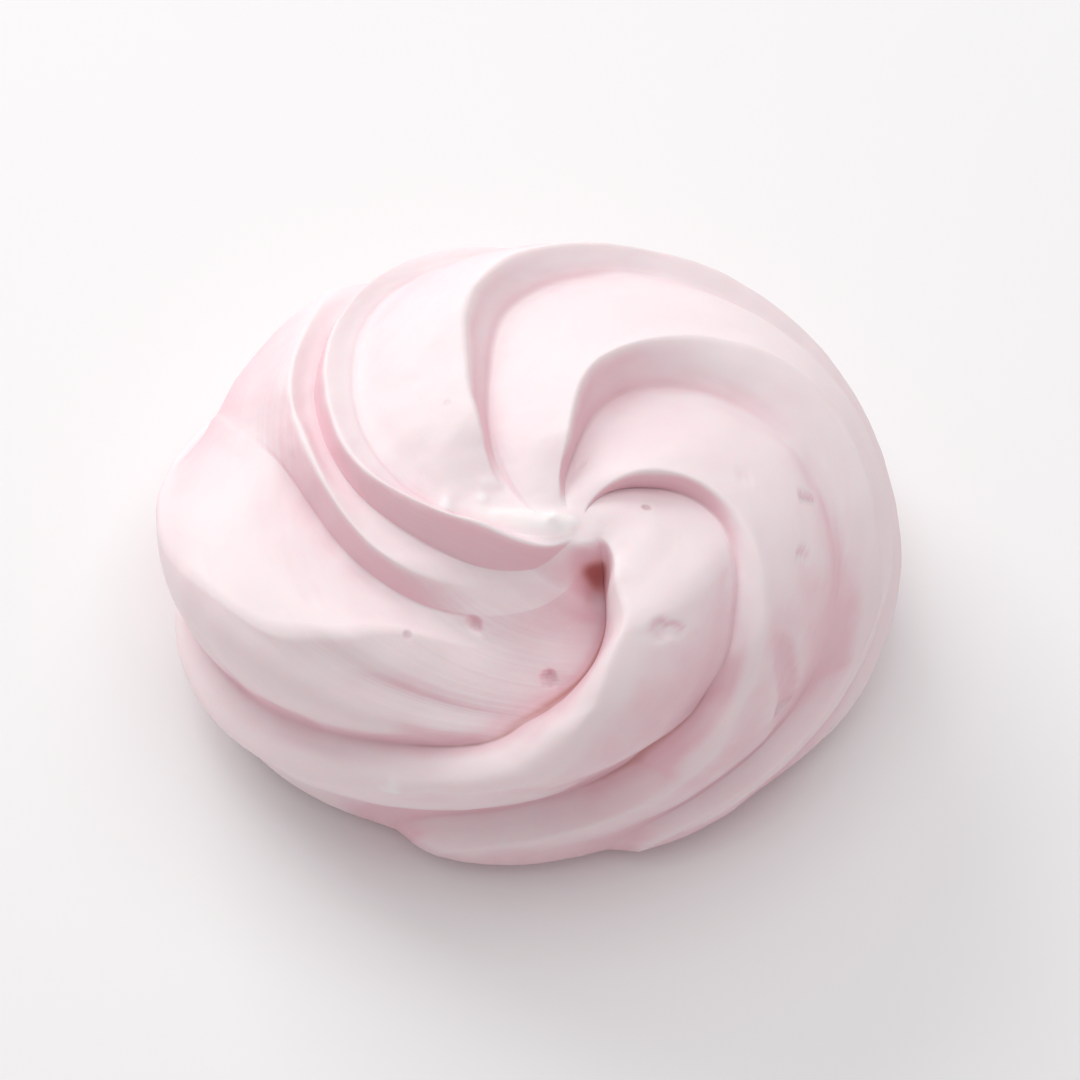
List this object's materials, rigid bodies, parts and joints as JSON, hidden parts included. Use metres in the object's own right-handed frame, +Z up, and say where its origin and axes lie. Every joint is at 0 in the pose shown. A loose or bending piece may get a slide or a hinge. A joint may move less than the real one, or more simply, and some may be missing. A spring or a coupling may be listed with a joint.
{
  "type": "meringue cookie",
  "caption": "Low round piped meringue cookie with a clockwise spiral of soft ridges, a hollow beside its off-centre tip and a flat foot.",
  "frame": {"origin": "middle of the bounding box on the surface that the flat foot stands on", "axes": "+Z up from the foot through the top, +X along the longer side of the slightly oval outline; the tip of the swirl lies towards -Y"},
  "size_m": [0.0456, 0.0422, 0.0218],
  "materials": {
    "baked_meringue": "pale pink baked meringue, matt with a faint satin sheen, lighter along the ridges"
  },
  "bodies": {
    "root": {"meringue": "baked_meringue"}
  },
  "joints": []
}
